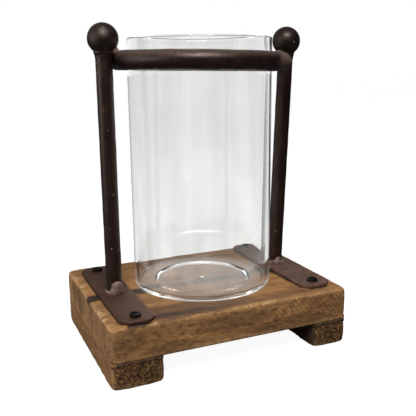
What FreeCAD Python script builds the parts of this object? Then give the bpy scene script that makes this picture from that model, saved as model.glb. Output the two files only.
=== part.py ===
import FreeCAD, Part
import math
import os

# Free-standing hurricane candle holder, in millimetres.
# +Z is up, X runs along the board and -Y is the front. The origin is on the
# surface that the feet stand on, under the middle of the board.

# ---- Board and feet -------------------------------------------------------
BOARD_LENGTH = 190.0
BOARD_DEPTH = 139.0
BOARD_THICKNESS = 25.6
BOARD_CORNER_RADIUS = 3.5
WOOD_EDGE_RADIUS = 1.8
FOOT_HEIGHT = 20.0
LEFT_FOOT_WIDTH = 38.3
RIGHT_FOOT_WIDTH = 30.4
FOOT_EDGE_RADIUS = 1.5

# ---- Screws that hold the feet --------------------------------------------
FOOT_SCREW_SPACING = 56.0
FOOT_SCREW_RADIUS = 2.1
FOOT_SCREW_LENGTH = 28.0
FOOT_SCREW_HEAD_RADIUS = 4.2
FOOT_SCREW_HEAD_HEIGHT = 2.6
COUNTERBORE_RADIUS = 5.0
COUNTERBORE_DEPTH = 8.0

# ---- Mounting plates -------------------------------------------------------
PLATE_WIDTH = 25.5
PLATE_LENGTH = 126.0
PLATE_THICKNESS = 2.5
PLATE_CORNER_CLIP = 5.5
PLATE_HOLE_RADIUS = 2.4
PLATE_SCREW_SPACING = 107.0
# The ironwork is set by hand: the right plate sits further back than the left.
PLATE_CENTRE = {"left": (-73.5, -4.8), "right": (74.9, 3.5)}

# ---- Screws through the plates ---------------------------------------------
SCREW_RADIUS = 2.1
SCREW_LENGTH = 19.0
SCREW_TIP_LENGTH = 4.0
SCREW_HEAD_RADIUS = 4.1
SCREW_HEAD_HEIGHT = 2.5
CROSS_LENGTH = 4.6
CROSS_WIDTH = 1.1
CROSS_DEPTH = 1.3

# ---- Posts, ring and ball finials ------------------------------------------
POST_RADIUS = 6.0
POST_FOOT = {"left": (-73.5, -5.0), "right": (72.3, 5.0)}
BALL_RADIUS = 11.0
BALL_HEIGHT_OVER_PLATE = 186.0
RING_BAR_RADIUS = 6.9
RING_BELOW_BALL = 15.7
RING_CENTRE = (1.4, -0.5)
# The ring was welded slightly low on the right.
RING_TILT_DEGREES = 1.0

# ---- Welds -----------------------------------------------------------------
COLLAR_TOP_RADIUS = 9.3
COLLAR_TOP_BELOW_BALL = 5.4
COLLAR_HEIGHT = 9.0
BASE_WELD_SPREAD = 4.0
BASE_WELD_HEIGHT = 5.0
BASE_LUMP_RADIUS = 5.6
BASE_LUMP_OFFSET = 5.2
BASE_LUMP_RISE = 2.0
RING_WELD_RADIUS = 6.2
RING_WELD_REACH = 1.6

# ---- Glass cylinder --------------------------------------------------------
GLASS_RADIUS = 54.6
GLASS_HEIGHT = 190.0
GLASS_WALL = 2.8
GLASS_FLOOR = 2.8
GLASS_HEEL_RADIUS = 2.8
GLASS_INNER_FILLET = 2.5

# ---- Places worked out from the sizes above --------------------------------
BOARD_TOP = FOOT_HEIGHT + BOARD_THICKNESS
PLATE_TOP = BOARD_TOP + PLATE_THICKNESS
BALL_Z = PLATE_TOP + BALL_HEIGHT_OVER_PLATE
RING_Z = BALL_Z - RING_BELOW_BALL
UP = FreeCAD.Vector(0, 0, 1)
SIDES = ("left", "right")
ENDS = {"front": -1, "back": 1}
RING_MIDDLE = FreeCAD.Vector(*RING_CENTRE, RING_Z)
BAR_SPACING = POST_RADIUS + RING_BAR_RADIUS


def post_foot(side):
    """Where a post's axis meets its plate."""
    return FreeCAD.Vector(*POST_FOOT[side], PLATE_TOP)


def at(point, height):
    return FreeCAD.Vector(point.x, point.y, height)


# The left post is upright and touches the ring, which sets the ring's radius.
RING_RADIUS = (at(post_foot("left"), RING_Z) - RING_MIDDLE).Length - BAR_SPACING


def post_direction(side):
    """The right post leans out and forward, to touch the ring's right side."""
    if side == "left":
        return UP
    touch = RING_MIDDLE + FreeCAD.Vector(RING_RADIUS + BAR_SPACING, 0, 0)
    return (touch - post_foot(side)).normalize()


def stand_on_post(shape, side):
    """Place a shape made about Z from the origin on a post's axis.

    Its +X side, where the seams of round faces are, turns away from the ring.
    """
    turn = FreeCAD.Rotation(UP, 180 if side == "left" else 0)
    lean = FreeCAD.Rotation(UP, post_direction(side))
    placed = shape.copy()
    placed.Placement = FreeCAD.Placement(post_foot(side), lean * turn)
    return placed


def cylinder(radius, low, high, point):
    return Part.makeCylinder(radius, high - low, at(point, low), UP)


def revolve(outline):
    """A solid of revolution about Z from edges in the XZ plane."""
    wire = Part.Wire(outline)
    return Part.Face(wire).revolve(FreeCAD.Vector(0, 0, 0), UP, 360)


def polygon_revolve(radii_and_heights):
    points = [FreeCAD.Vector(r, 0, z) for r, z in radii_and_heights]
    return revolve([Part.makePolygon(points + points[:1])])


def moved(shape, point, height=0):
    placed = shape.copy()
    placed.translate(at(point, height))
    return placed


def largest_solid(shape):
    return max(shape.Solids, key=lambda solid: solid.Volume)


def vertical_edges(solid):
    found = []
    for edge in solid.Edges:
        box = edge.BoundBox
        if box.ZLength > 1 and box.XLength < 1e-6 and box.YLength < 1e-6:
            found.append(edge)
    return found


def soft_block(x_low, x_high, depth, z_low, z_high, corner, edge):
    """A sawn block with eased vertical corners and eased long edges."""
    size = (x_high - x_low, depth, z_high - z_low)
    block = Part.makeBox(*size, FreeCAD.Vector(x_low, -depth / 2, z_low))
    block = block.makeFillet(corner, vertical_edges(block))
    rims = [e for e in block.Edges if e.BoundBox.ZLength < 1e-6]
    return block.makeFillet(edge, rims)


def export(node, shape):
    if not shape.isValid():
        raise ValueError(node + " is not a valid shape")
    print(node, "solids", len(shape.Solids), "volume", round(shape.Volume, 1))
    shape.exportStep("parts/" + node + ".step")


# ---- Places of the screws --------------------------------------------------
def plate_screw_points():
    points = {}
    for side in SIDES:
        x, y = PLATE_CENTRE[side]
        for end, y_sign in ENDS.items():
            points[side + "_" + end] = FreeCAD.Vector(x, y + y_sign * PLATE_SCREW_SPACING / 2, 0)
    return points


def foot_screw_points():
    centres = {
        "left": -BOARD_LENGTH / 2 + LEFT_FOOT_WIDTH / 2,
        "right": BOARD_LENGTH / 2 - RIGHT_FOOT_WIDTH / 2,
    }
    points = {}
    for side, x in centres.items():
        for end, y_sign in ENDS.items():
            y = y_sign * FOOT_SCREW_SPACING / 2
            points[side + "_" + end] = FreeCAD.Vector(x, y, 0)
    return points


# ---- Wood ------------------------------------------------------------------
def base_board():
    half = BOARD_LENGTH / 2
    board = soft_block(-half, half, BOARD_DEPTH, FOOT_HEIGHT, BOARD_TOP,
                       BOARD_CORNER_RADIUS, WOOD_EDGE_RADIUS)
    for point in plate_screw_points().values():
        board = board.cut(plate_screw_shank(point))
    for point in foot_screw_points().values():
        board = board.cut(foot_screw(point))
    return largest_solid(board)


def foot(side):
    half = BOARD_LENGTH / 2
    if side == "left":
        x_low, x_high = -half, -half + LEFT_FOOT_WIDTH
    else:
        x_low, x_high = half - RIGHT_FOOT_WIDTH, half
    block = soft_block(x_low, x_high, BOARD_DEPTH, 0, FOOT_HEIGHT,
                       BOARD_CORNER_RADIUS, FOOT_EDGE_RADIUS)
    for name, point in foot_screw_points().items():
        if name.startswith(side):
            block = block.cut(cylinder(COUNTERBORE_RADIUS, 0, COUNTERBORE_DEPTH, point))
            block = block.cut(foot_screw(point))
    return largest_solid(block)


# ---- Screws ----------------------------------------------------------------
def cross_recess(point, height):
    """The tool that cuts a cross slot down into a screw head from above."""
    slots = []
    for length, width in ((CROSS_LENGTH, CROSS_WIDTH), (CROSS_WIDTH, CROSS_LENGTH)):
        corner = FreeCAD.Vector(point.x - length / 2, point.y - width / 2, height - CROSS_DEPTH)
        slots.append(Part.makeBox(length, width, 2 * CROSS_DEPTH, corner))
    return slots[0].fuse(slots[1])


def plate_screw_shank(point):
    tip = PLATE_TOP - SCREW_LENGTH
    shank = polygon_revolve([
        (0, tip), (SCREW_RADIUS, tip + SCREW_TIP_LENGTH),
        (SCREW_RADIUS, PLATE_TOP), (0, PLATE_TOP)])
    return moved(shank, point)


def plate_screw(point):
    """Pan-head wood screw, its head resting on the plate."""
    crown = PLATE_TOP + SCREW_HEAD_HEIGHT
    shoulder = PLATE_TOP + 0.4 * SCREW_HEAD_HEIGHT
    rim = FreeCAD.Vector(SCREW_HEAD_RADIUS, 0, PLATE_TOP)
    rim_top = FreeCAD.Vector(SCREW_HEAD_RADIUS, 0, shoulder)
    bulge = FreeCAD.Vector(0.78 * SCREW_HEAD_RADIUS, 0, crown - 0.2 * SCREW_HEAD_HEIGHT)
    middle_top = FreeCAD.Vector(0, 0, crown)
    middle = FreeCAD.Vector(0, 0, PLATE_TOP)
    head = revolve([
        Part.LineSegment(middle, rim).toShape(),
        Part.LineSegment(rim, rim_top).toShape(),
        Part.Arc(rim_top, bulge, middle_top).toShape(),
        Part.LineSegment(middle_top, middle).toShape(),
    ])
    head = moved(head, point).cut(cross_recess(point, crown))
    return largest_solid(head.fuse(plate_screw_shank(point)).removeSplitter())


def foot_screw(point):
    """Pan-head wood screw driven up through a foot, its head in the counterbore."""
    seat = COUNTERBORE_DEPTH
    low = seat - FOOT_SCREW_HEAD_HEIGHT
    tip = seat + FOOT_SCREW_LENGTH
    screw = polygon_revolve([
        (0, low), (0.7 * FOOT_SCREW_HEAD_RADIUS, low),
        (FOOT_SCREW_HEAD_RADIUS, low + 0.4 * FOOT_SCREW_HEAD_HEIGHT),
        (FOOT_SCREW_HEAD_RADIUS, seat), (FOOT_SCREW_RADIUS, seat),
        (FOOT_SCREW_RADIUS, tip - SCREW_TIP_LENGTH), (0, tip)])
    return moved(screw, point)


# ---- Ironwork --------------------------------------------------------------
def mounting_plate(side):
    """Flat bar with its four corners clipped and a hole near each end."""
    half_width = PLATE_WIDTH / 2
    half_length = PLATE_LENGTH / 2
    clip = PLATE_CORNER_CLIP
    quarter = [(half_width, half_length - clip), (half_width - clip, half_length)]
    outline = []
    for x_sign, y_sign in ((1, 1), (-1, 1), (-1, -1), (1, -1)):
        corner = [FreeCAD.Vector(x_sign * x, y_sign * y, 0) for x, y in quarter]
        outline.extend(corner if x_sign == y_sign else reversed(corner))
    face = Part.Face(Part.makePolygon(outline + outline[:1]))
    centre = FreeCAD.Vector(*PLATE_CENTRE[side], 0)
    plate = moved(face.extrude(UP * PLATE_THICKNESS), centre, BOARD_TOP)
    for name, point in plate_screw_points().items():
        if name.startswith(side):
            plate = plate.cut(cylinder(PLATE_HOLE_RADIUS, BOARD_TOP - 1, PLATE_TOP + 1, point))
    return plate


def above_plates(shape):
    """The part of a shape that is over the top of the plates."""
    reach = 2 * BOARD_LENGTH
    corner = FreeCAD.Vector(-reach / 2, -reach / 2, PLATE_TOP)
    return shape.common(Part.makeBox(reach, reach, reach, corner))


def post_blank(side):
    """Round bar from the plate to the middle of its ball."""
    below = 2.0
    length = BALL_HEIGHT_OVER_PLATE + below
    bar = Part.makeCylinder(POST_RADIUS, length, FreeCAD.Vector(0, 0, -below), UP)
    return above_plates(stand_on_post(bar, side))


def ball_finial(side):
    ball = Part.makeSphere(BALL_RADIUS, FreeCAD.Vector(0, 0, BALL_HEIGHT_OVER_PLATE))
    return stand_on_post(ball, side)


def retaining_ring():
    ring = Part.makeTorus(RING_RADIUS, RING_BAR_RADIUS)
    seam_to_back = FreeCAD.Rotation(UP, 90)
    tilt = FreeCAD.Rotation(FreeCAD.Vector(0, 1, 0), RING_TILT_DEGREES)
    ring.Placement = FreeCAD.Placement(RING_MIDDLE, tilt * seam_to_back)
    return ring


def post(side):
    """Round bar, its top dished to seat the ball."""
    bar = post_blank(side).cut(ball_finial(side)).cut(retaining_ring())
    return largest_solid(bar)


# ---- Welds, each cut back to the pieces that it joins ----------------------
def ball_weld(side):
    """A tapered collar that blends the ball's underside into the post."""
    top = BALL_HEIGHT_OVER_PLATE - COLLAR_TOP_BELOW_BALL
    collar = stand_on_post(polygon_revolve([
        (0, top - COLLAR_HEIGHT), (POST_RADIUS + 0.3, top - COLLAR_HEIGHT),
        (COLLAR_TOP_RADIUS, top), (0, top)]), side)
    for neighbour in (ball_finial(side), post_blank(side), retaining_ring()):
        collar = collar.cut(neighbour)
    return largest_solid(collar)


def ring_weld(side):
    """The bead in the groove above the ring, between the ring, the post and the ball."""
    height = BALL_HEIGHT_OVER_PLATE - RING_BELOW_BALL + RING_BAR_RADIUS
    centre = FreeCAD.Vector(-POST_RADIUS - RING_WELD_REACH, 0, height)
    bead = stand_on_post(Part.makeSphere(RING_WELD_RADIUS, centre), side)
    for neighbour in (retaining_ring(), post_blank(side), ball_finial(side), ball_weld(side)):
        bead = bead.cut(neighbour)
    return largest_solid(bead)


def base_weld(side):
    """A fillet round the post's foot, with the thick run at its front."""
    below = 1.0
    fillet = polygon_revolve([
        (0, -below), (POST_RADIUS + BASE_WELD_SPREAD, -below),
        (POST_RADIUS + BASE_WELD_SPREAD, 0),
        (POST_RADIUS + 0.35 * BASE_WELD_SPREAD, 0.4 * BASE_WELD_HEIGHT),
        (POST_RADIUS + 0.2, BASE_WELD_HEIGHT), (0, BASE_WELD_HEIGHT)])
    front = post_foot(side) + FreeCAD.Vector(0, -BASE_LUMP_OFFSET, BASE_LUMP_RISE)
    lump = Part.makeSphere(BASE_LUMP_RADIUS, front)
    weld = stand_on_post(fillet, side).fuse(lump).removeSplitter()
    return largest_solid(above_plates(weld).cut(post_blank(side)))


# ---- Glass -----------------------------------------------------------------
def glass_cylinder():
    """Straight-walled cup with a plain floor, a rounded heel and a fire-polished rim."""
    low = BOARD_TOP
    floor = BOARD_TOP + GLASS_FLOOR
    high = BOARD_TOP + GLASS_HEIGHT
    inner = GLASS_RADIUS - GLASS_WALL
    heel = GLASS_HEEL_RADIUS
    hollow = GLASS_INNER_FILLET
    rim = GLASS_WALL / 2
    bend = math.cos(math.pi / 4)

    def line(r0, z0, r1, z1):
        return Part.LineSegment(FreeCAD.Vector(r0, 0, z0), FreeCAD.Vector(r1, 0, z1)).toShape()

    def arc(r0, z0, r1, z1, r2, z2):
        return Part.Arc(FreeCAD.Vector(r0, 0, z0), FreeCAD.Vector(r1, 0, z1),
                        FreeCAD.Vector(r2, 0, z2)).toShape()

    cup = revolve([
        line(0, low, GLASS_RADIUS - heel, low),
        arc(GLASS_RADIUS - heel, low,
            GLASS_RADIUS - heel + heel * bend, low + heel - heel * bend,
            GLASS_RADIUS, low + heel),
        line(GLASS_RADIUS, low + heel, GLASS_RADIUS, high - rim),
        arc(GLASS_RADIUS, high - rim, GLASS_RADIUS - rim, high, inner, high - rim),
        line(inner, high - rim, inner, floor + hollow),
        arc(inner, floor + hollow,
            inner - hollow + hollow * bend, floor + hollow - hollow * bend,
            inner - hollow, floor),
        line(inner - hollow, floor, 0, floor),
        line(0, floor, 0, low),
    ])
    return moved(cup, RING_MIDDLE)


# ---- The whole assembly ----------------------------------------------------
os.makedirs("parts", exist_ok=True)
export("base_board", base_board())
export("retaining_ring", retaining_ring())
export("glass_cylinder", glass_cylinder())
for side_name in SIDES:
    export(side_name + "_foot", foot(side_name))
    export(side_name + "_mounting_plate", mounting_plate(side_name))
    export(side_name + "_post", post(side_name))
    export(side_name + "_ball_finial", ball_finial(side_name))
    export(side_name + "_ball_weld", ball_weld(side_name))
    export(side_name + "_ring_weld", ring_weld(side_name))
    export(side_name + "_base_weld", base_weld(side_name))
for place, spot in plate_screw_points().items():
    export("plate_screw_" + place, plate_screw(spot))
for place, spot in foot_screw_points().items():
    export("foot_screw_" + place, foot_screw(spot))
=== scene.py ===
import math
import random

import bmesh
import bpy
from mathutils import Matrix, Vector, noise


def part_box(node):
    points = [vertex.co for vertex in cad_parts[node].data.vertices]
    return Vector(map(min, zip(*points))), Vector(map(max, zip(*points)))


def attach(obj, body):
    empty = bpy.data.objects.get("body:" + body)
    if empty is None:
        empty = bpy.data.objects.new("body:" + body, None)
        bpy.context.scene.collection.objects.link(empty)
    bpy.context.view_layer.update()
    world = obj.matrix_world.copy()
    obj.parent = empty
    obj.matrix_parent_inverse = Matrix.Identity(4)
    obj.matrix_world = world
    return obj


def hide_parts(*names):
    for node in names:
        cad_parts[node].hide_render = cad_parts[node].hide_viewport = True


# The looks of a free-standing hurricane candle holder: a board of old pine on two feet,
# two blackened iron posts with ball tops and a welded ring, and a clear glass cylinder.
# Metres throughout, +Z up, X along the board, -Y to the front.
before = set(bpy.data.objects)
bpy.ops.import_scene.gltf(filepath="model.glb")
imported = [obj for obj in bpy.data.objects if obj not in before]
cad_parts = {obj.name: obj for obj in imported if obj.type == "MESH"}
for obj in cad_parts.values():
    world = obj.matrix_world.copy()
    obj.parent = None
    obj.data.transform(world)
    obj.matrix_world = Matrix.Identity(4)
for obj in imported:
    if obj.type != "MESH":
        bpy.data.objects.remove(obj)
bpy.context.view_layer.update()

MM = 0.001
UP = Vector((0, 0, 1))
SIDES = ("left", "right")
ENDS = ("front", "back")
FRONTWARD, UPWARD = 1, 2
STAND = "stand"
GLASS = "glass"

# ---- Camera: where it stands and how it looks ---------------------------------------
CAMERA_PLACE = Vector((-0.1862, -0.4384, 0.2130))
CAMERA_YAW = math.radians(-23.83)
CAMERA_PITCH = math.radians(12.83)
CAMERA_ROLL = math.radians(0.61)
CAMERA_LENS = 52.98
CAMERA_SENSOR = 36.0

# ---- Light ---------------------------------------------------------------------------
# Each lamp's name, place, the height it looks at, size, power, and what it does about the
# glass: EXCLUDE lights all but the glass, INCLUDE lights only the glass.
LAMPS = (
    ("key", (-0.20, -0.58, 0.90), 0.12, (0.50, 0.40), 10.5, None),
    ("from_left", (-1.1, 0.0, 0.35), 0.10, (0.9, 0.7), 4.5, "EXCLUDE"),
    ("glint_left", (-0.13, 0.71, 0.74), 0.05, (0.32, 0.32), 3.4, "INCLUDE"),
    ("glint_right", (0.60, 0.39, 0.74), 0.05, (0.32, 0.32), 3.4, "INCLUDE"),
)
GLASS_BOUNCES = 28
ROOM_BACK, ROOM_ABOVE, ROOM_LEFT, ROOM_MIRRORED = 0.25, 0.10, 0.10, 1.0
FLOOR_SIZE, FLOOR_GLOW, FLOOR_BOUNCE = 40.0, 0.95, 92

# ---- Sizes that the frame's boxes don't give directly -------------------------------
BAR_RADIUS = 6.0 * MM
RING_BAR_RADIUS = 6.9 * MM
SKIN_ALLOWANCE = 0.3 * MM
JOINT_REACH, JOINT_PUSH = 2.5 * MM, 0.35 * MM
GROWTH_RING = 3.1 * MM
SAW_PITCH, SAW_DEPTH, SAW_SLANT, SAW_FADE = 4.0 * MM, 0.16 * MM, 0.8, 0.06
# Half width of the painted shadow line on the board beside each plate's left edge.
PLATE_SHADOW_WIDTHS = {"left": 0.6 * MM, "right": 2.4 * MM}

GLASS_WALL = 2.8 * MM
GLASS_FLOOR = 2.8 * MM
GLASS_HEEL = 2.8 * MM
GLASS_INNER_FILLET = 2.5 * MM
PUNT_RADIUS, PUNT_DEPTH, PUNT_SLOPE = 37 * MM, 0.6 * MM, 3 * MM
WELL_RADIUS, WELL_DEPTH, WELL_SLOPE = 35 * MM, 1.2 * MM, 4.0 * MM
BUTTON_RADIUS, BUTTON_HEIGHT = 2.4 * MM, 0.5 * MM

SHANK_RADIUS, CORE_RADIUS, THREAD_PITCH = 2.1 * MM, 1.45 * MM, 1.7 * MM
SLOT_LONG, SLOT_WIDE, SLOT_DEEP = 2.5 * MM, 0.62 * MM, 1.3 * MM
CROWN_SHARE = 0.62


# ---- Places read from the frame -----------------------------------------------------
def middle(node):
    """The middle of a CAD node's box."""
    low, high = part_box(node)
    return (low + high) / 2


def post_ends(side):
    """The two ends of a post's axis: at its plate, and in its ball."""
    low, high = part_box(side + "_post")
    top = middle(side + "_ball_finial")
    if side == "left":
        return Vector((top.x, top.y, low.z)), top
    return Vector((low.x + BAR_RADIUS, high.y - BAR_RADIUS, low.z)), top


def ring_shape():
    """The ring's centre, its radius to the middle of the bar, and how far its right side is down."""
    low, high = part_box("retaining_ring")
    radius = (high.y - low.y) / 2 - RING_BAR_RADIUS
    tilt = ((high.z - low.z) / 2 - RING_BAR_RADIUS) / radius
    return (low + high) / 2, radius, tilt


# ---- Meshes -------------------------------------------------------------------------
def mesh_from(name, points, faces):
    """A closed mesh whose faces all look outward."""
    mesh = bpy.data.meshes.new(name)
    mesh.from_pydata(points, [], faces)
    build = bmesh.new()
    build.from_mesh(mesh)
    bmesh.ops.recalc_face_normals(build, faces=build.faces)
    build.to_mesh(mesh)
    build.free()
    return mesh


def lathe(name, profile, around, matrix, shape=None):
    """A closed solid of revolution from (radius, height) rows that start and end on the axis."""
    points, rows = [], []
    for radius, height in profile:
        count = 1 if radius < 1e-9 else around
        row = []
        for i in range(count):
            angle = 2 * math.pi * i / around
            local = Vector((radius * math.cos(angle), radius * math.sin(angle), height))
            if shape:
                local = shape(local)
            row.append(len(points))
            points.append(matrix @ local)
        rows.append(row)
    faces = []
    for low, high in zip(rows, rows[1:]):
        for i in range(around):
            corners = [low[i % len(low)], low[(i + 1) % len(low)],
                       high[(i + 1) % len(high)], high[i % len(high)]]
            faces.append(tuple(dict.fromkeys(corners)))
    return mesh_from(name, points, faces)


def arc(centre_radius, centre_height, radius, start, stop, steps):
    """Profile rows along an arc, from start to stop in degrees from the outward direction."""
    rows = []
    for i in range(steps + 1):
        angle = math.radians(start + (stop - start) * i / steps)
        rows.append((centre_radius + radius * math.cos(angle),
                     centre_height + radius * math.sin(angle)))
    return rows


def straight(start, end, steps):
    """Profile rows from start up to, but not including, end."""
    return [tuple(a + (b - a) * i / steps for a, b in zip(start, end)) for i in range(steps)]


def eased(start, end, steps):
    """Profile rows from start up to, but not including, end, level at both."""
    rows = []
    for i in range(steps):
        share = i / steps
        rise = share * share * (3 - 2 * share)
        rows.append((start[0] + (end[0] - start[0]) * share,
                     start[1] + (end[1] - start[1]) * rise))
    return rows


def on_axis(start, end):
    """The matrix that takes +Z from the origin onto the axis from start to end."""
    turn = UP.rotation_difference(end - start).to_matrix().to_4x4()
    return Matrix.Translation(start) @ turn


def hammered(point, size, depth):
    """How far the hammer and the fire left a point off true."""
    return depth * (noise.noise(point / size) + 0.5 * noise.noise(point / (0.37 * size)))


def pushed(mesh, rule):
    """Moves every vertex along its normal by rule(place, normal)."""
    moves = [v.normal * rule(v.co, v.normal) for v in mesh.vertices]
    for vertex, move in zip(mesh.vertices, moves):
        vertex.co += move
    mesh.update()
    return mesh


def reskinned(mesh, voxel, smoothing):
    """The mesh with an even, dense skin, its sharp edges slightly rounded."""
    holder = bpy.data.objects.new("holder", mesh)
    bpy.context.scene.collection.objects.link(holder)
    skin = holder.modifiers.new("skin", "REMESH")
    skin.mode = "VOXEL"
    skin.voxel_size = voxel
    soften = holder.modifiers.new("soften", "SMOOTH")
    soften.iterations = smoothing
    graph = bpy.context.evaluated_depsgraph_get()
    made = bpy.data.meshes.new_from_object(holder.evaluated_get(graph))
    bpy.data.objects.remove(holder)
    return made


def dense_copy(node, voxel, smoothing):
    """The CAD mesh of a node, reskinned."""
    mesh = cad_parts[node].data.copy()
    build = bmesh.new()
    build.from_mesh(mesh)
    bmesh.ops.remove_doubles(build, verts=build.verts, dist=0.01 * MM)
    build.to_mesh(mesh)
    build.free()
    mesh.materials.clear()
    return reskinned(mesh, voxel, smoothing)


def melted(name, lumps, voxel=0.45 * MM, smoothing=5):
    """One skin round overlapping ellipsoids, each a centre and its three radii."""
    build = bmesh.new()
    for centre, radii in lumps:
        size = Matrix.Diagonal((*radii, 1))
        bmesh.ops.create_icosphere(build, subdivisions=3, radius=1,
                                   matrix=Matrix.Translation(centre) @ size)
    mesh = bpy.data.meshes.new(name)
    build.to_mesh(mesh)
    build.free()
    return reskinned(mesh, voxel, smoothing)


def piece(name, mesh, material, body, slot, *stands_for):
    """A visible piece that rides on a body and stands for the CAD nodes it replaces."""
    mesh.materials.clear()
    mesh.materials.append(material)
    mesh.shade_smooth()
    obj = bpy.data.objects.new(name, mesh)
    bpy.context.scene.collection.objects.link(obj)
    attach(obj, body)
    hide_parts(*stands_for)
    return obj


# ---- Material nodes -----------------------------------------------------------------
class Recipe:
    """One material, with short ways to add its nodes."""

    def __init__(self, name):
        self.material = bpy.data.materials.new(name)
        self.material.use_nodes = True
        self.tree = self.material.node_tree
        self.shader = self.tree.nodes["Principled BSDF"]
        self.place = self.add("ShaderNodeTexCoord").outputs["Object"]

    def add(self, kind, **settings):
        node = self.tree.nodes.new(kind)
        for key, value in settings.items():
            setattr(node, key, value)
        return node

    def feed(self, socket, value):
        """Links a socket to another node's, or sets it to a number or a colour."""
        if isinstance(value, bpy.types.NodeSocket):
            self.tree.links.new(value, socket)
        else:
            socket.default_value = value

    def maths(self, operation, first, second=0.0):
        node = self.add("ShaderNodeMath", operation=operation)
        self.feed(node.inputs[0], first)
        self.feed(node.inputs[1], second)
        return node.outputs[0]

    def vector(self, operation, first, second):
        node = self.add("ShaderNodeVectorMath", operation=operation)
        self.feed(node.inputs[0], first)
        self.feed(node.inputs[1], second)
        single = operation in ("LENGTH", "DOT_PRODUCT")
        return node.outputs["Value" if single else "Vector"]

    def cloud(self, scale, detail=3.0, roughness=0.5, colour=False, place=None):
        """Noise with scale lumps a metre along X, Y and Z."""
        node = self.add("ShaderNodeTexNoise")
        self.feed(node.inputs["Vector"], self.vector("MULTIPLY", place or self.place, scale))
        node.inputs["Scale"].default_value = 1.0
        node.inputs["Detail"].default_value = detail
        node.inputs["Roughness"].default_value = roughness
        return node.outputs["Color" if colour else "Fac"]

    def turned(self, degrees):
        """The object's coordinates, turned about Y."""
        node = self.add("ShaderNodeVectorRotate", rotation_type="Y_AXIS")
        self.feed(node.inputs["Vector"], self.place)
        node.inputs["Angle"].default_value = math.radians(degrees)
        return node.outputs["Vector"]

    def levels(self, value, low, high, out_low=0.0, out_high=1.0):
        """out_low where the value is low or less, out_high where it is high, smooth between."""
        node = self.add("ShaderNodeMapRange", interpolation_type="SMOOTHSTEP")
        self.feed(node.inputs["Value"], value)
        node.inputs["From Min"].default_value = low
        node.inputs["From Max"].default_value = high
        node.inputs["To Min"].default_value = out_low
        node.inputs["To Max"].default_value = out_high
        return node.outputs["Result"]

    def mixed(self, share, first, second):
        """The first colour, with this share of the second."""
        node = self.add("ShaderNodeMix", data_type="RGBA")
        self.feed(node.inputs["Factor"], share)
        self.feed(node.inputs["A"], first)
        self.feed(node.inputs["B"], second)
        return node.outputs["Result"]

    def attribute(self, name):
        return self.add("ShaderNodeAttribute", attribute_name=name).outputs["Fac"]

    def patch(self, centre, size, ragged=0.6):
        """1 inside a soft-edged, ragged patch of the given half sizes, 0 outside it."""
        away = self.vector("DIVIDE", self.vector("SUBTRACT", self.place, centre), size)
        far = self.vector("LENGTH", away, (0, 0, 0))
        rough = self.cloud((90, 420, 420), detail=4.0, roughness=0.65)
        reach = self.maths("ADD", far, self.maths("MULTIPLY", rough, 2 * ragged))
        return self.levels(reach, 0.7 + ragged, 1.1 + ragged, 1.0, 0.0)

    def bump(self, height, distance, strength=1.0, under=None):
        node = self.add("ShaderNodeBump")
        self.feed(node.inputs["Height"], height)
        node.inputs["Distance"].default_value = distance
        node.inputs["Strength"].default_value = strength
        if under is not None:
            self.feed(node.inputs["Normal"], under)
        return node.outputs["Normal"]

    def finish(self, colour, roughness, normal):
        self.feed(self.shader.inputs["Base Color"], colour)
        self.feed(self.shader.inputs["Roughness"], roughness)
        if normal is not None:
            self.feed(self.shader.inputs["Normal"], normal)
        return self.material


def tone(red, green, blue):
    """A node colour from the sRGB values that the eye reads, 0 to 255."""
    def linear(value):
        share = value / 255
        return share / 12.92 if share <= 0.04045 else ((share + 0.055) / 1.055) ** 2.4
    return (linear(red), linear(green), linear(blue), 1.0)


WHITE = (1.0, 1.0, 1.0, 1.0)

# Stains on the wood, and bare new wood where it is chipped. The black colour also serves as painted
# shade and painted shadow beside the plates and on the feet.
BLACK_STAIN_AND_SHADE = tone(36, 28, 25)
GRIMY = tone(72, 49, 33)
RUSTY = tone(78, 42, 34)
BARE = tone(236, 208, 164)

# Light and dark wood, first on the faces and then on the end grain.
BOARD_TONES = tone(186, 138, 86), tone(104, 70, 40), tone(184, 138, 92), tone(122, 86, 54)
FOOT_TONES = tone(172, 126, 80), tone(108, 74, 44), tone(160, 115, 68), tone(38, 23, 10)

# Iron: each tuple is the dark ground and the brown coat on it.
BAR_TONES = tone(24, 13, 10), tone(38, 22, 17)
BALL_TONES = tone(14, 8, 6), tone(27, 16, 12)
WELD_TONES = tone(94, 73, 66), tone(128, 106, 98)
# The plates share one iron in two lights: the right painted lighter as a painted sheen, the left
# darker as painted shade.
LEFT_PLATE_SHADED_TONES = tone(54, 32, 20), tone(72, 46, 31)
RIGHT_PLATE_SHEEN_TONES = tone(84, 60, 48), tone(106, 81, 67)
CHIPPED = tone(186, 170, 156)
# Colour of the painted highlight along the ring's top.
RING_TOP_HIGHLIGHT = tone(96, 80, 72)
# Colour of the lighter hazy patch near the ring's right end.
PALE_HAZE = tone(104, 84, 74)
WARM_GLEAM = tone(255, 228, 216)


# ---- Wood ---------------------------------------------------------------------------
MELLOW = tone(112, 72, 42)
FIBRE_DARK = tone(70, 48, 30)
FIBRE_LIGHT = tone(196, 142, 86)
SAW_CUT = tone(62, 42, 28)
SPECK = tone(52, 38, 28)
GROOVE = tone(72, 50, 32)
FLUFF = tone(206, 168, 120)
RUBBED = tone(196, 150, 98)
SPLINTER = tone(226, 196, 152)


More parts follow.
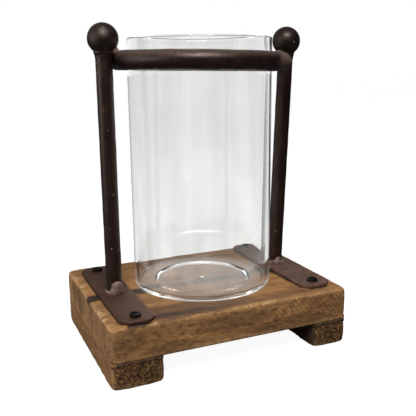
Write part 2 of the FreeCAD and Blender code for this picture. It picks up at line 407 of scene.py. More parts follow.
class Timber(Recipe):
    """Old stained pine. grain is a unit vector, pith a point on the heart of the tree.

    The mesh's attributes are 1 on end grain ("end"), rubbed arrises ("worn") and the sides
    ("sawn"), and 0 elsewhere.
    """

    def __init__(self, name, grain, pith, light, dark):
        super().__init__(name)
        self.grain = grain
        self.light = light
        self.dark = dark
        self.late = self.late_wood(pith)
        self.hair = self.cloud(self.drawn_out(110, 1900), detail=4.0, roughness=0.7)
        self.cast = self.cloud((21, 26, 60), detail=3.0)
        self.soft = self.cloud((95, 120, 200), detail=5.0, roughness=0.7)

    def drawn_out(self, along, across):
        """One scale along the grain and another across it."""
        return [float(along if g else across) for g in self.grain]

    def late_wood(self, pith):
        """Growth rings round the pith, from 0 where a year starts to 1 where it ends."""
        wander = self.cloud(self.drawn_out(14, 34), detail=2.0, colour=True)
        bend = self.vector("MULTIPLY", self.vector("SUBTRACT", wander, (0.5, 0.5, 0.5)),
                           (0.016, 0.016, 0.016))
        from_pith = self.vector("SUBTRACT", self.place, pith)
        section = self.vector("MULTIPLY", from_pith, self.drawn_out(0.035, 1))
        radius = self.vector("LENGTH", self.vector("ADD", section, bend), (0, 0, 0))
        year = self.maths("FRACT", self.maths("DIVIDE", radius, GROWTH_RING))
        return self.maths("POWER", year, 2.2)

    def planed(self):
        """The colour of a top or an underside."""
        tint = self.cloud(self.drawn_out(9, 210), detail=4.0, roughness=0.6)
        colour = self.mixed(self.levels(tint, 0.25, 0.8, 0.0, 0.8), self.light, self.dark)
        for share in (self.maths("MULTIPLY", self.late, 0.3),
                      self.levels(self.hair, 0.5, 0.8, 0.0, 0.42),
                      self.levels(self.cast, 0.35, 0.7, 0.0, 0.35)):
            colour = self.mixed(share, colour, self.dark)
        return self.mixed(self.levels(self.soft, 0.46, 0.68, 0.0, 0.55), colour, MELLOW)

    def sawn(self):
        """The colour of a rough side."""
        mottle = self.cloud((170, 230, 300), detail=6.0, roughness=0.74)
        colour = self.mixed(self.levels(mottle, 0.42, 0.66), self.light, self.dark)
        for share in (self.levels(self.cast, 0.35, 0.7, 0.0, 0.5),
                      self.levels(self.hair, 0.5, 0.8, 0.0, 0.4)):
            colour = self.mixed(share, colour, self.dark)
        fibres = self.cloud(self.drawn_out(60, 1100), detail=3.0, roughness=0.7)
        colour = self.mixed(self.levels(fibres, 0.52, 0.72, 0.0, 0.6), colour, FIBRE_DARK)
        return self.mixed(self.levels(fibres, 0.3, 0.46, 0.45, 0.0), colour, FIBRE_LIGHT)

    def saw_lines(self, colour, start):
        """A colour with the saw's slanting cuts in it, which grow stronger from X = start."""
        slant = self.vector("DOT_PRODUCT", self.place, (1.0, 0.0, SAW_SLANT))
        wander = self.maths("MULTIPLY", self.cloud((32, 32, 32), detail=2.0), 2.2)
        turns = self.maths("ADD", self.maths("DIVIDE", slant, SAW_PITCH), wander)
        phase = self.maths("FRACT", turns)
        line = self.maths("MULTIPLY", self.levels(phase, 0.30, 0.52),
                          self.levels(phase, 0.52, 0.74, 1.0, 0.0))
        along_board = self.vector("DOT_PRODUCT", self.place, (1.0, 0.0, 0.0))
        shown = self.levels(along_board, start, start + SAW_FADE, 0.05, 0.62)
        shown = self.maths("MULTIPLY", shown, self.levels(self.soft, 0.34, 0.56, 0.15, 1.0))
        return self.mixed(self.maths("MULTIPLY", line, shown), colour, SAW_CUT)

    def torn_end(self, light, dark):
        """The colour and the depth of end grain that a coarse saw tore criss-cross."""
        one_way = self.cloud((330, 330, 1150), detail=4.0, roughness=0.7,
                             place=self.turned(38))
        other_way = self.cloud((330, 330, 1300), detail=3.0, roughness=0.7,
                               place=self.turned(-44))
        pores = self.maths("MULTIPLY", self.maths("ADD", one_way, other_way), 0.5)
        colour = self.mixed(self.levels(pores, 0.46, 0.58), dark, light)
        return self.mixed(self.maths("MULTIPLY", self.late, 0.6), colour, dark), pores

    def board_end(self, light, dark):
        """The colour and the depth of the board's ends, rougher towards the front."""
        pores = self.cloud((500, 760, 300), detail=5.0, roughness=0.75)
        drawn = self.cloud((70, 105, 34), detail=5.0, roughness=0.62)
        forward = self.vector("DOT_PRODUCT", self.place, (0.0, -1.0, 0.0))
        torn = self.levels(forward, 0.030, 0.064, 0.3, 1.0)
        colour = self.mixed(self.levels(drawn, 0.36, 0.72), light, dark)
        grooves = self.levels(pores, 0.46, 0.6, 0.0, 0.9)
        colour = self.mixed(self.maths("MULTIPLY", grooves, torn), colour, GROOVE)
        fluff = self.levels(pores, 0.30, 0.42, 0.8, 0.0)
        return self.mixed(self.maths("MULTIPLY", fluff, torn), colour, FLUFF), pores

    def rubbed(self, colour):
        """A colour with the arrises rubbed pale and splintered."""
        worn = self.attribute("worn")
        pale = self.maths("MULTIPLY", worn, self.levels(self.hair, 0.3, 0.65, 0.25, 1.0))
        colour = self.mixed(self.maths("MULTIPLY", pale, 0.75), colour, RUBBED)
        splinters = self.cloud((430, 430, 430), detail=3.0, roughness=0.7)
        splinters = self.maths("MULTIPLY", worn, self.levels(splinters, 0.52, 0.6))
        return self.mixed(self.maths("MULTIPLY", splinters, 0.75), colour, SPLINTER)

    def relief(self, end, pores):
        """Raised fibres on the faces, and deep pores on the ends."""
        fibres = self.maths("ADD", self.maths("MULTIPLY", self.hair, 0.7),
                            self.maths("MULTIPLY", self.late, -0.35))
        pits = self.maths("MULTIPLY", pores, 2.6)
        height = self.maths("ADD", self.maths("MULTIPLY", fibres, self.maths("SUBTRACT", 1.0, end)),
                            self.maths("MULTIPLY", pits, end))
        return self.bump(height, 0.35 * MM, 0.8)


def wood(name, grain, pith, tones, colour_patches, torn_ends, saw_start=None):
    """tones are light and dark for the faces, then for the ends.

    Each patch, of dirt or of painted shade, is a centre, three half sizes, a strength and a colour.
    """
    light, dark, end_light, end_dark = tones
    r = Timber(name, grain, pith, light, dark)
    sides = r.sawn()
    if saw_start is not None:
        sides = r.saw_lines(sides, saw_start)
    body = r.mixed(r.maths("MULTIPLY", r.attribute("sawn"), 0.88), r.planed(), sides)
    specks = r.cloud((520, 900, 900), detail=2.0, roughness=0.6)
    body = r.mixed(r.levels(specks, 0.66, 0.74, 0.0, 0.6), body, SPECK)

    end = r.attribute("end")
    make_end = r.torn_end if torn_ends else r.board_end
    ends, pores = make_end(end_light, end_dark)
    colour = r.rubbed(r.mixed(end, body, ends))
    # Dark patches: real stains and rust, and painted shade where the board shadows the feet and the
    # plates shadow the board.
    for centre, size, strength, patch_colour in colour_patches:
        mask = r.maths("MULTIPLY", r.patch(centre, size), strength)
        colour = r.mixed(mask, colour, patch_colour)

    r.shader.inputs["Specular IOR Level"].default_value = 0.3
    return r.finish(colour, r.levels(r.hair, 0.2, 0.8, 0.62, 0.88), r.relief(end, pores))


def arris_distance(place, low, high):
    """How far a point on a block is from its nearest arris and corner, and its face's axis."""
    gaps = sorted((min(place[i] - low[i], high[i] - place[i]), i) for i in range(3))
    return gaps[1][0], gaps[2][0], gaps[0][1]


def rough(place, size, depth):
    """Noise with lumps of a size, up to about a depth, both in millimetres."""
    return noise.noise(place / (size * MM)) * depth * MM


def rubbed_off(place, gap, corner):
    """How much wear has taken off near an arris, and more of it near a corner."""
    arris = math.exp(-gap / (1.6 * MM)) * (0.35 + 0.6 * noise.noise(place / (6 * MM))) * MM
    arris += math.exp(-gap / (2.4 * MM) - corner / (3.6 * MM)) * 2.7 * MM
    return max(arris, 0.0)


def weathered(node, voxel, grain_axis, dents, saw_relief=None):
    """A block of wood: fibres raised by age, rubbed arrises, dents, and saw marks where sawn.

    Board and feet are not worn where they meet, and are pushed together there.
    """
    low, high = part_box(node)
    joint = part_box("base_board")[0].z
    mesh = dense_copy(node, voxel, 2)

    def rule(place, normal):
        gap, corner, face = arris_distance(place, low, high)
        at_joint = abs(place.z - joint) < JOINT_REACH
        move = rough(place, 27, 0.25) - SKIN_ALLOWANCE
        if not at_joint:
            move -= rubbed_off(place, gap, corner)
        if face == grain_axis:
            move += rough(place, 1.1, 0.22)
        else:
            across = Vector(place)
            across[grain_axis] *= 0.06
            move += rough(across, 1.5, 0.10)
            if face != UPWARD:
                move += rough(place, 2.3, 0.16)
        for centre, reach, depth in dents:
            move -= depth * math.exp(-((place - centre).length / reach) ** 2)
        if saw_relief:
            move += SAW_DEPTH * saw_relief(place, normal)
        if at_joint:
            closed = abs(normal.z)
            move += closed * (JOINT_PUSH - move)
        return move

    pushed(mesh, rule)
    marks = {"worn": [], "end": [], "sawn": []}
    for vertex in mesh.vertices:
        place = vertex.co
        gap, corner, face = arris_distance(place, low, high)
        rubbed = math.exp(-gap / (1.5 * MM)) * (0.9 + 0.9 * noise.noise(place / (7 * MM)))
        at_end = min(place.x - low.x, high.x - place.x) < 3 * MM
        if abs(place.z - joint) < 4 * MM and (node != "base_board" or at_end):
            rubbed = 0.0
        marks["worn"].append(min(max(rubbed, 0.0), 1.0))
        marks["end"].append(float(face == grain_axis))
        marks["sawn"].append(float(face != UPWARD))
    for name, values in marks.items():
        mesh.attributes.new(name, "FLOAT", "POINT").data.foreach_set("value", values)
    return mesh


def scattered_dents(seed, count, node, reach, depth):
    """Seeded dents over a block's faces: each a centre, a reach and a depth."""
    pick = random.Random(seed)
    low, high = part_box(node)
    dents = []
    for _ in range(count):
        centre = Vector([pick.uniform(low[i], high[i]) for i in range(3)])
        face = pick.choice((FRONTWARD, UPWARD, UPWARD))
        centre[face] = high[face] if face == UPWARD else low[face]
        dents.append((centre, reach * pick.uniform(0.5, 1.5), depth * pick.uniform(0.4, 1.2)))
    return dents


def slanting_saw(place, normal):
    """Relief of the saw marks on the front face, from -1 to 1, stronger to the right."""
    if normal.y > -0.7:
        return 0.0
    fade = min(max((place.x + 0.01) / 0.05, 0.12), 1.0)
    fade *= 0.55 + 0.9 * noise.noise(place / (8 * MM))
    phase = (place.x + SAW_SLANT * place.z) / SAW_PITCH + 0.7 * noise.noise(place / (24 * MM))
    return min(max(fade, 0.0), 1.0) * math.sin(2 * math.pi * phase)


def build_wood():
    """The board and its two feet."""
    low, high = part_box("base_board")
    top, front = high.z, low.y
    # Each stain's centre, half sizes, strength and colour: black streaks along the top,
    # grime and rust near its front, grime down the front face, and on the left end.
    board_patches = (
        ((-0.012, -0.006, top), (0.120, 0.0062, 0.004), 0.6, BLACK_STAIN_AND_SHADE),
        ((-0.058, -0.006, top), (0.020, 0.0066, 0.004), 0.9, BLACK_STAIN_AND_SHADE),
        ((0.070, -0.006, top), (0.024, 0.0070, 0.004), 0.8, BLACK_STAIN_AND_SHADE),
        ((-0.090, -0.006, top), (0.013, 0.0068, 0.006), 0.9, BLACK_STAIN_AND_SHADE),
        ((-0.034, front + 0.014, top), (0.060, 0.015, 0.004), 0.78, GRIMY),
        ((0.010, front + 0.0065, top), (0.085, 0.0030, 0.003), 0.35, GRIMY),
        ((-0.040, front + 0.0105, top), (0.028, 0.0036, 0.003), 0.75, BLACK_STAIN_AND_SHADE),
        ((0.052, front + 0.011, top), (0.030, 0.0032, 0.003), 0.6, RUSTY),
        ((0.066, front + 0.019, top), (0.016, 0.0050, 0.003), 0.45, RUSTY),
        ((-0.085, front, 0.036), (0.016, 0.003, 0.010), 0.4, GRIMY),
        ((-0.050, front, 0.024), (0.024, 0.003, 0.006), 0.35, GRIMY),
        ((-0.005, front, 0.036), (0.040, 0.003, 0.007), 0.45, GRIMY),
        ((0.045, front, 0.026), (0.034, 0.003, 0.006), 0.5, GRIMY),
        ((0.012, 0.050, top), (0.070, 0.0042, 0.003), 0.5, BLACK_STAIN_AND_SHADE),
        ((low.x, 0.020, 0.036), (0.003, 0.016, 0.012), 0.35, GRIMY),
    )
    # Where the left end's top arris has chipped: Y and half length.
    chips = ((0.051, 0.0030), (0.044, 0.0050), (0.023, 0.0036), (-0.036, 0.0026),
             (-0.040, 0.0048), (-0.049, 0.0032))
    board_patches += tuple(((low.x + 0.0015, y, top), (length, 0.0010, 0.0022), 0.5, BARE)
                          for y, length in chips)
    # Painted shadow on the board: a dark line along each plate's left edge and under its front edge,
    # where the plate stands proud.
    for side, shadow_width in PLATE_SHADOW_WIDTHS.items():
        node = side + "_mounting_plate"
        edge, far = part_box(node)
        centre = middle(node)
        half = (far - edge) / 2
        board_patches += (
            ((edge.x, centre.y, top), (shadow_width, 0.95 * half.y, 0.003), 0.85, BLACK_STAIN_AND_SHADE),
            ((centre.x, edge.y, top), (0.80 * half.x, 0.0017, 0.003), 0.85, BLACK_STAIN_AND_SHADE),
        )
    board = wood("old_pine", (1, 0, 0), (0.0, 0.022, -0.046), BOARD_TONES, board_patches,
                 torn_ends=False, saw_start=-0.01)
    dents = scattered_dents(11, 26, "base_board", 3.2 * MM, 0.55 * MM)
    piece("board", weathered("base_board", 0.95 * MM, 0, dents, slanting_saw),
          board, STAND, "board_wood", "base_board")
    for side, pith_x in (("left", -0.062), ("right", 0.098)):
        node = side + "_foot"
        low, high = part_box(node)
        # Painted shadow of the board across the top of each foot's front.
        colour_patches = [((middle(node).x, low.y, high.z), (0.018, 0.004, 0.0024), 0.6, BLACK_STAIN_AND_SHADE)]
        # Painted shade down the right foot's inner side, under the board.
        if side == "right":
            colour_patches.append(((low.x, 0.0, 0.010), (0.0030, 0.2, 0.03), 0.85, BLACK_STAIN_AND_SHADE))
        foot = wood(side + "_foot_pine", (0, 1, 0), (pith_x, 0.0, 0.047), FOOT_TONES, colour_patches,
                    torn_ends=True)
        dents = scattered_dents(23, 7, node, 2.2 * MM, 0.5 * MM)
        piece(node + "_block", weathered(node, 0.75 * MM, 1, dents),
              foot, STAND, "foot_wood", node)


# ---- Iron ---------------------------------------------------------------------------
def iron(name, tones, roughness, chips=0.84, pale_patches=(), highlight_above=None, specular=0.42):
    """Blackened iron under a fine brown coat, finely pitted, with small bright chips.

    More of it is chipped as chips gets lower. Each lighter hazy patch is a centre and three half
    sizes.
    Above the given height, grainy lighter flecks on the coat are a painted highlight.
    """
    r = Recipe(name)
    dark, brown = tones
    patchy = r.cloud((130, 130, 90), detail=5.0, roughness=0.6)
    grit = r.cloud((1500, 1500, 1500), detail=3.0, roughness=0.7)
    soft = r.cloud((420, 420, 420), detail=3.0)
    colour = r.mixed(r.levels(patchy, 0.38, 0.68), dark, brown)
    colour = r.mixed(r.levels(grit, 0.55, 0.78, 0.0, 0.5), colour, brown)
    spots = r.cloud((640, 640, 640), detail=0.0)
    chipped = r.levels(spots, chips, chips + 0.02)
    colour = r.mixed(chipped, colour, CHIPPED)
    # Painted highlight: grainy lighter flecks along the top of the bar, above the given height.
    if highlight_above is not None:
        split = r.add("ShaderNodeSeparateXYZ")
        r.feed(split.inputs["Vector"], r.place)
        top_highlight = r.levels(split.outputs["Z"], highlight_above + 1.5 * MM, highlight_above + 6 * MM)
        top_highlight = r.maths("MULTIPLY", top_highlight, r.levels(grit, 0.40, 0.60, 0.05, 0.85))
        colour = r.mixed(top_highlight, colour, RING_TOP_HIGHLIGHT)
    # A lighter hazy patch at each centre and size given.
    for centre, size in pale_patches:
        colour = r.mixed(r.maths("MULTIPLY", r.patch(centre, size), 0.85), colour, PALE_HAZE)
    rough = r.maths("ADD", r.levels(grit, 0.25, 0.75, roughness - 0.08, roughness + 0.1),
                    r.levels(patchy, 0.35, 0.7, -0.04, 0.06))
    normal = r.bump(soft, 0.25 * MM, 0.55)
    normal = r.bump(grit, 0.10 * MM, 0.6, normal)
    r.shader.inputs["Specular IOR Level"].default_value = specular
    r.shader.inputs["Specular Tint"].default_value = WARM_GLEAM
    return r.finish(colour, rough, normal)


def bar(start, end, radius, rows, around=48):
    """A hand-drawn round bar, not quite true."""
    length = (end - start).length
    profile = [(0.0, 0.0), *straight((radius, 0.0), (radius, length), rows),
               (radius, length), (0.0, length)]

    def shape(local):
        flat = Vector((local.x, local.y, 0))
        if flat.length < 1e-9:
            return local
        return local + flat.normalized() * hammered(local + start, 11 * MM, 0.14 * MM)

    return lathe("bar", profile, around, on_axis(start, end), shape)


def ring_bar(centre, radius, tilt, thickness, around=320, section=44):
    """A ring of round bar that hangs lower on the right. thickness is the bar's radius."""
    points, faces = [], []
    for i in range(around):
        angle = 2 * math.pi * i / around
        out = Vector((math.cos(angle), math.sin(angle), 0))
        for j in range(section):
            turn = 2 * math.pi * j / section
            spoke = out * math.cos(turn) + UP * math.sin(turn)
            point = centre + out * radius + spoke * thickness
            point += spoke * hammered(point, 10 * MM, 0.16 * MM)
            point.z -= (point.x - centre.x) * tilt
            points.append(point)
    for i in range(around):
        for j in range(section):
            a, b = i * section, (i + 1) % around * section
            k = (j + 1) % section
            faces.append((a + j, b + j, b + k, a + k))
    return mesh_from("ring", points, faces)


def ball(centre, radius):
    """A ball, not quite round."""
    profile = [(0.0, -radius), *arc(0, 0, radius, -88, 88, 44), (0.0, radius)]

    def shape(local):
        return local * (1 + hammered(local + centre, 9 * MM, 0.16 * MM) / radius)

    return lathe("ball", profile, 72, Matrix.Translation(centre), shape)


def lumps_round(pick, start, axis, radius, size, count, jitter):
    """Weld ripples: ellipsoids set side by side round an axis."""
    side = axis.orthogonal().normalized()
    lumps = []
    for i in range(count):
        spoke = Matrix.Rotation(2 * math.pi * i / count, 3, axis) @ side
        scale = 1 + pick.uniform(-jitter, jitter)
        lumps.append((start + spoke * radius, [s * scale for s in size]))
    return lumps


def ball_weld(side, pick):
    """The tapered weld under a ball."""
    start, top = post_ends(side)
    axis = (top - start).normalized()
    lumps = []
    # Each row's depth below the ball's centre, the radius it runs at and its lumps' radius.
    for below, radius, size in ((9.0, 4.3, 2.9), (11.0, 3.9, 2.7), (13.0, 3.4, 2.8)):
        level = top - axis * below * MM
        lumps += lumps_round(pick, level, axis, radius * MM, [size * MM] * 3, 16, 0.06)
    return melted("weld", lumps)


def ring_weld(side, pick):
    """The run of weld that fills the groove between ball, post and ring."""
    start, top = post_ends(side)
    centre, radius, tilt = ring_shape()
    to_ring = Vector((centre.x - top.x, centre.y - top.y, 0)).normalized()
    cross = to_ring.cross(UP)
    ring_top = centre.z + RING_BAR_RADIUS - (top.x - centre.x) * tilt
    lumps = []
    for i in range(7):
        swing = (i - 3) / 3
        place = Vector((top.x, top.y, ring_top - 0.6 * MM)) + cross * swing * 4.2 * MM
        place += to_ring * (6.3 + 0.8 * abs(swing)) * MM
        thick = (3.0 - 0.7 * abs(swing)) * MM * (1 + pick.uniform(-0.12, 0.12))
        lumps.append((place, (1.25 * thick, 0.8 * thick, 1.35 * thick)))
        lumps.append((place + to_ring * 2.4 * MM - UP * 1.0 * MM,
                      (0.9 * thick, 0.62 * thick, 0.7 * thick)))
    return melted("weld", lumps, 0.35 * MM, 3)


def base_weld(side, pick):
    """Ripples of weld round a post's foot, and the thick run at its front."""
    start, _ = post_ends(side)
    lumps = lumps_round(pick, start + UP * 0.4 * MM, UP, 6.0 * MM,
                        (1.4 * MM, 1.4 * MM, 1.7 * MM), 20, 0.14)
    # Each lump of the run: its centre from the post's foot, and its three radii.
    if side == "left":
        run = ((0.6, -5.6, 1.6, 5.5, 3.6, 4.6), (0.7, -5.3, 4.8, 4.5, 3.2, 5.0),
               (2.6, -5.2, 1.0, 3.4, 2.9, 3.0))
    else:
        run = ((-1.0, -5.6, 1.2, 3.6, 3.0, 3.4), (4.6, -4.2, 0.8, 2.4, 2.4, 2.2),
               (-5.4, -3.8, 1.0, 2.6, 2.4, 2.6), (0.4, -5.0, 3.6, 2.6, 2.2, 3.4))
    for x, y, z, rx, ry, rz in run:
        lumps.append((start + Vector((x, y, z)) * MM, Vector((rx, ry, rz)) * MM))
    return melted("weld", lumps, 0.4 * MM, 4)


def plate(side):
    """Flat bar, cut, punched and hammered by hand."""
    mesh = dense_copy(side + "_mounting_plate", 0.5 * MM, 3)

    def rule(place, normal):
        return hammered(place, 16 * MM, 0.14 * MM) + hammered(place, 4 * MM, 0.035 * MM)

    return pushed(mesh, rule)


def build_iron():
    """The ring, and on each side a post, a ball, a plate and three welds."""
    centre, radius, tilt = ring_shape()
    right_end = centre + Matrix.Rotation(math.radians(-44), 3, "Z") @ Vector((radius, 0, 0))
    # A lighter hazy patch near the ring's right end, a little below its middle.
    pale_patches = [(right_end - UP * 2 * MM, (0.020, 0.020, 0.009))]
    bars = iron("brown_iron", BAR_TONES, 0.38)
    # The ring has a painted highlight along its top, above the height of its centre.
    ring_iron = iron("ring_iron", BAR_TONES, 0.38, pale_patches=pale_patches, highlight_above=centre.z)
    # The same plate iron twice: the right plate painted lighter as a painted sheen, the left darker
    # as painted shade.
    plates = {
        "left": iron("left_plate_iron_shaded", LEFT_PLATE_SHADED_TONES, 0.54, chips=0.86),
        "right": iron("right_plate_iron_sheen", RIGHT_PLATE_SHEEN_TONES, 0.48, chips=0.86),
    }
    balls = iron("ball_iron", BALL_TONES, 0.42, specular=0.5)
    welds = iron("weld_iron", WELD_TONES, 0.45, chips=0.86)
    piece("ring", ring_bar(centre, radius, tilt, RING_BAR_RADIUS), ring_iron,
          STAND, "brown_iron", "retaining_ring")
    for side in SIDES:
        pick = random.Random(side)
        start, top = post_ends(side)
        low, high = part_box(side + "_ball_finial")
        makes = (
            ("post", bar(start, top, BAR_RADIUS, 120), bars, "brown_iron"),
            ("ball_finial", ball(top, (high.z - low.z) / 2), balls, "brown_iron"),
            ("mounting_plate", plate(side), plates[side], "brown_iron"),
            ("ball_weld", ball_weld(side, pick), bars, "weld_iron"),
            ("ring_weld", ring_weld(side, pick), welds, "weld_iron"),
            ("base_weld", base_weld(side, pick), welds, "weld_iron"),
        )
        for kind, mesh, material, slot in makes:
            if kind.endswith("weld"):
                pushed(mesh, lambda place, normal: hammered(place, 2.2 * MM, 0.12 * MM))
            node = side + "_" + kind
            piece(node + "_made", mesh, material, STAND, slot, node)


# ---- Screws -------------------------------------------------------------------------
def screw_material(name, dark, light, metallic, roughness):
    """Dull metal, rubbed light in places."""
    r = Recipe(name)
    r.shader.inputs["Specular IOR Level"].default_value = 0.14
    grit = r.cloud((1300, 1300, 1300), detail=4.0, roughness=0.7)
    rubbed = r.cloud((900, 900, 300), detail=2.0)
    colour = r.mixed(r.levels(rubbed, 0.5, 0.74), dark, light)
    r.shader.inputs["Metallic"].default_value = metallic
    rough = r.levels(grit, 0.25, 0.75, roughness - 0.08, roughness + 0.14)
    return r.finish(colour, rough, r.bump(grit, 0.06 * MM, 0.7))


def pan_screw(matrix, length, head_radius, head_height):
    """A cross-slot wood screw: local +Z points out of its head, whose top is at the origin."""
    under, shoulder = -head_height, -CROWN_SHARE * head_height
    taper_end = -length + 4 * MM
    profile = [(0.0, -length), *straight((0.2 * MM, -length), (SHANK_RADIUS, taper_end), 8)]
    profile += straight((SHANK_RADIUS, taper_end), (SHANK_RADIUS, under), 60)
    profile += [(SHANK_RADIUS, under), (head_radius - 0.2 * MM, under)]
    profile += [(head_radius, under + 0.2 * MM), (head_radius, shoulder)]
    for i in range(1, 26):
        share = math.sin(math.pi / 2 * (1 - i / 26))
        rise = shoulder * (1 - math.sqrt(max(1 - share ** 2.6, 0.0)))
        profile.append((head_radius * share, rise))
    profile.append((0.0, 0.0))

    def shape(local):
        flat = math.hypot(local.x, local.y)
        if local.z < under - 0.1 * MM and flat > 0.3 * MM:
            turn = math.atan2(local.y, local.x) / (2 * math.pi)
            phase = (local.z / THREAD_PITCH - turn) % 1.0
            taper = flat / SHANK_RADIUS
            depth = (SHANK_RADIUS - CORE_RADIUS) * (1 - abs(2 * phase - 1)) * taper
            return local - Vector((local.x, local.y, 0)).normalized() * depth
        if local.z > -0.6 * head_height:
            x, y = abs(local.x), abs(local.y)
            inside = min(SLOT_LONG - max(x, y), SLOT_WIDE - min(x, y))
            if inside > 0:
                deep = SLOT_DEEP * min(inside / (0.35 * MM), 1.0)
                return local - UP * deep * (1 - 0.45 * flat / SLOT_LONG)
        return local

    return lathe("screw", profile, 96, matrix, shape)


def build_screws():
    """Two black screws in each plate from above, and two zinc ones in each foot from below."""
    black = screw_material("black_screw", tone(6, 4, 4), tone(24, 18, 15), 0.0, 0.58)
    zinc = screw_material("zinc_screw", tone(172, 170, 160), tone(206, 202, 188), 1.0, 0.3)
    half_turn = Matrix.Rotation(math.pi, 4, "X")
    for side in SIDES:
        for end in ENDS:
            node = "plate_screw_" + side + "_" + end
            low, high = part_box(node)
            spin = Matrix.Rotation(random.Random(node).uniform(0, math.pi / 2), 4, "Z")
            place = Matrix.Translation((*middle(node).xy, high.z)) @ spin
            head = (high.x - low.x) / 2
            piece(node + "_made", pan_screw(place, high.z - low.z, head, 2.5 * MM),
                  black, STAND, "black_screw", node)
            node = "foot_screw_" + side + "_" + end
            low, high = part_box(node)
            place = Matrix.Translation((*middle(node).xy, low.z)) @ half_turn @ spin
            head = (high.x - low.x) / 2
            piece(node + "_made", pan_screw(place, high.z - low.z, head, 2.6 * MM),
                  zinc, STAND, "zinc_screw", node)


# ---- Glass --------------------------------------------------------------------------
def glass_mesh():
    """A blown cylinder: rounded heel, shallow hollow underneath, shallow well, polished rim."""
    low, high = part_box("glass_cylinder")
    centre = middle("glass_cylinder")
    outer = (high.x - low.x) / 2
    inner = outer - GLASS_WALL
    height = high.z - low.z
    rim = GLASS_WALL / 2
    foot = outer - GLASS_HEEL
    fillet = inner - GLASS_INNER_FILLET
    well_floor = GLASS_FLOOR - WELL_DEPTH
    punt_start, punt_stop = PUNT_RADIUS - PUNT_SLOPE, PUNT_RADIUS + PUNT_SLOPE
    button = well_floor + BUTTON_HEIGHT
    profile = [(0.0, PUNT_DEPTH), *straight((2 * MM, PUNT_DEPTH), (punt_start, PUNT_DEPTH), 12)]
    profile += eased((punt_start, PUNT_DEPTH), (punt_stop, 0.2 * MM), 12)
    profile += straight((punt_stop, 0.2 * MM), (foot - 1.0 * MM, 0.03 * MM), 5)
    profile += arc(foot, GLASS_HEEL + 0.02 * MM, GLASS_HEEL, -90, 0, 14)
    profile += straight((outer, GLASS_HEEL + 1.5 * MM), (outer, height - 1.3 * rim), 44)
    profile += arc(outer - rim, height - rim, rim, 0, 180, 16)
    profile += straight((inner, height - 1.3 * rim), (inner, GLASS_FLOOR + 8 * MM), 44)
    profile += arc(fillet, GLASS_FLOOR + GLASS_INNER_FILLET, GLASS_INNER_FILLET, 0, -90, 14)
    profile += straight((fillet - 0.5 * MM, GLASS_FLOOR), (WELL_RADIUS + WELL_SLOPE, GLASS_FLOOR), 8)
    profile += eased((WELL_RADIUS + WELL_SLOPE, GLASS_FLOOR), (WELL_RADIUS, well_floor), 16)
    profile += straight((WELL_RADIUS, well_floor), (BUTTON_RADIUS, well_floor), 14)
    profile += eased((BUTTON_RADIUS, well_floor), (0.4 * MM, button), 8)
    profile += [(0.0, button)]

    def shape(local):
        flat = Vector((local.x, local.y, 0))
        if flat.length < 1e-9:
            return local
        out = flat.normalized()
        wave = noise.noise(Vector((7 * out.x, 7 * out.y, local.z / (90 * MM))))
        wave += 0.5 * noise.noise(Vector((17 * out.x, 17 * out.y, local.z / (60 * MM))))
        from_rim = max((height - local.z) / (30 * MM), 0.1)
        share = min(max(local.z / (20 * MM), 0.0), from_rim, 1.0)
        depth = 0.022 * MM if flat.length < inner + 0.5 * MM else 0.012 * MM
        return local + out * wave * depth * share

    matrix = Matrix.Translation((centre.x, centre.y, low.z))
    return lathe("glass", profile, 360, matrix, shape)


def build_glass():
    """The cylinder of clear glass, which casts no shadow."""
    r = Recipe("clear_glass")
    streaks = r.maths("ADD", r.maths("MULTIPLY", r.cloud((90, 90, 8), detail=3.0), 0.55),
                      r.maths("MULTIPLY", r.cloud((26, 26, 20), detail=2.0), 0.45))
    r.shader.inputs["Transmission Weight"].default_value = 1.0
    r.shader.inputs["IOR"].default_value = 1.5
    colour = r.mixed(r.levels(streaks, 0.36, 0.64), tone(247, 247, 246), tone(237, 238, 237))
    material = r.finish(colour, 0.0, None)
    glass = piece("glass_cylinder_blown", glass_mesh(), material,
                  GLASS, "clear_glass", "glass_cylinder")
    glass.visible_shadow = False
    return glass


# ---- Floor, light and camera --------------------------------------------------------
def eye_ray(tree):
    """1 for what the camera sees, straight or through glass, and 0 for light that bounces."""
    path = tree.nodes.new("ShaderNodeLightPath")
    either = tree.nodes.new("ShaderNodeMath")
    either.operation = "MAXIMUM"
    tree.links.new(path.outputs["Is Camera Ray"], either.inputs[0])
    tree.links.new(path.outputs["Is Transmission Ray"], either.inputs[1])
    return either.outputs[0]


def build_floor():
    """A pale floor. It looks white to the eye, and sends little light back up at the object."""
    mesh = bpy.data.meshes.new("floor")
    half = FLOOR_SIZE / 2
    corners = [(-half, -half, 0), (half, -half, 0), (half, half, 0), (-half, half, 0)]
    mesh.from_pydata(corners, [], [(0, 1, 2, 3)])
    r = Recipe("pale_floor")
    faint = r.cloud((3, 3, 3), detail=2.0)
    eye = eye_ray(r.tree)
    near = r.mixed(faint, (0.22, 0.22, 0.22, 1), (0.26, 0.26, 0.26, 1))
    r.finish(r.mixed(eye, tone(*[FLOOR_BOUNCE] * 3), near), 0.9, None)
    glow = r.maths("MULTIPLY", eye, FLOOR_GLOW)
    r.feed(r.shader.inputs["Emission Color"], WHITE)
    r.feed(r.shader.inputs["Emission Strength"], glow)
    mesh.materials.append(r.material)
    floor = bpy.data.objects.new("floor", mesh)
    bpy.context.scene.collection.objects.link(floor)


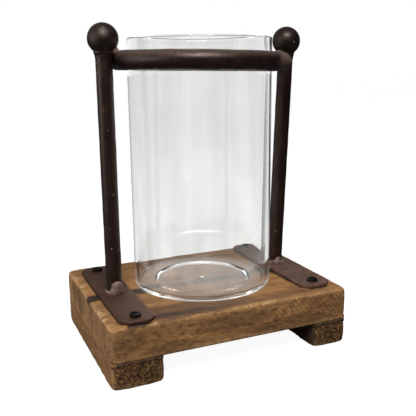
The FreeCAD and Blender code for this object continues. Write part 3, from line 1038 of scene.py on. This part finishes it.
def build_world():
    """A white room that is bright behind and above, and dim where the camera stands."""
    world = bpy.data.worlds.new("studio")
    bpy.context.scene.world = world
    world.use_nodes = True
    tree = world.node_tree
    background = tree.nodes["Background"]
    where = tree.nodes.new("ShaderNodeTexCoord")
    split = tree.nodes.new("ShaderNodeSeparateXYZ")
    tree.links.new(where.outputs["Generated"], split.inputs[0])

    def share(axis, low, high, dim, bright):
        node = tree.nodes.new("ShaderNodeMapRange")
        node.interpolation_type = "SMOOTHSTEP"
        tree.links.new(split.outputs[axis], node.inputs["Value"])
        for key, value in (("From Min", low), ("From Max", high),
                           ("To Min", dim), ("To Max", bright)):
            node.inputs[key].default_value = value
        return node.outputs["Result"]

    def joined(operation, first, second):
        node = tree.nodes.new("ShaderNodeMath")
        node.operation = operation
        for socket, value in zip(node.inputs, (first, second)):
            if isinstance(value, float):
                socket.default_value = value
            else:
                tree.links.new(value, socket)
        return node.outputs[0]

    def chosen(factor, first, second):
        node = tree.nodes.new("ShaderNodeMix")
        for socket, value in zip(("Factor", "A", "B"), (factor, first, second)):
            if isinstance(value, float):
                node.inputs[socket].default_value = value
            else:
                tree.links.new(value, node.inputs[socket])
        return node.outputs["Result"]

    back = share("Y", 0.0, 0.9, 0.015, ROOM_BACK)
    above = share("Z", 0.3, 1.0, 0.0, ROOM_ABOVE)
    left = share("X", -0.95, -0.1, ROOM_LEFT, 0.0)
    room = joined("ADD", joined("ADD", back, above), left)
    mirrored = share("Y", -0.7, 0.3, 0.2, ROOM_MIRRORED)
    sharp = tree.nodes.new("ShaderNodeLightPath").outputs["Is Singular Ray"]
    strength = chosen(sharp, room, mirrored)
    strength = chosen(eye_ray(tree), strength, 1.0)
    tree.links.new(strength, background.inputs["Strength"])
    background.inputs["Color"].default_value = WHITE


def soft_lamp(name, place, aim, size, power, glass_state, glass_piece):
    """An area lamp that looks at the object's axis, aim metres above the floor."""
    lamp = bpy.data.lights.new(name, "AREA")
    lamp.shape = "RECTANGLE"
    lamp.size, lamp.size_y = size
    lamp.energy = power
    obj = bpy.data.objects.new(name, lamp)
    obj.location = place
    obj.rotation_euler = (UP * aim - obj.location).to_track_quat("-Z", "Y").to_euler()
    bpy.context.scene.collection.objects.link(obj)
    if glass_state:
        group = bpy.data.collections.new(name + "_link")
        group.objects.link(glass_piece)
        group.collection_objects[0].light_linking.link_state = glass_state
        obj.light_linking.receiver_collection = group


def build_camera():
    """A camera at CAMERA_PLACE, turned by its yaw, then tipped down, then rolled."""
    cos_pitch, sin_pitch = math.cos(CAMERA_PITCH), math.sin(CAMERA_PITCH)
    ahead = Vector((-math.sin(CAMERA_YAW) * cos_pitch, math.cos(CAMERA_YAW) * cos_pitch,
                    -sin_pitch))
    level = Vector((math.cos(CAMERA_YAW), math.sin(CAMERA_YAW), 0))
    down = ahead.cross(level)
    right = math.cos(CAMERA_ROLL) * level + math.sin(CAMERA_ROLL) * down
    up = math.sin(CAMERA_ROLL) * level - math.cos(CAMERA_ROLL) * down
    data = bpy.data.cameras.new("camera")
    data.lens = CAMERA_LENS
    data.sensor_width = CAMERA_SENSOR
    camera = bpy.data.objects.new("camera", data)
    turn = Matrix((right, up, -ahead)).transposed().to_4x4()
    camera.matrix_world = Matrix.Translation(CAMERA_PLACE) @ turn
    bpy.context.scene.collection.objects.link(camera)
    bpy.context.scene.camera = camera


def set_up_render():
    """Bounces for light that passes the glass many times, and plain view colours."""
    scene = bpy.context.scene
    scene.view_settings.view_transform = "Standard"
    scene.cycles.max_bounces = GLASS_BOUNCES
    scene.cycles.transmission_bounces = GLASS_BOUNCES
    scene.cycles.glossy_bounces = GLASS_BOUNCES
    scene.cycles.caustics_refractive = False
    scene.cycles.caustics_reflective = False


build_wood()
build_iron()
build_screws()
blown_glass = build_glass()
build_floor()
build_world()
for lamp_settings in LAMPS:
    soft_lamp(*lamp_settings, blown_glass)
build_camera()
set_up_render()
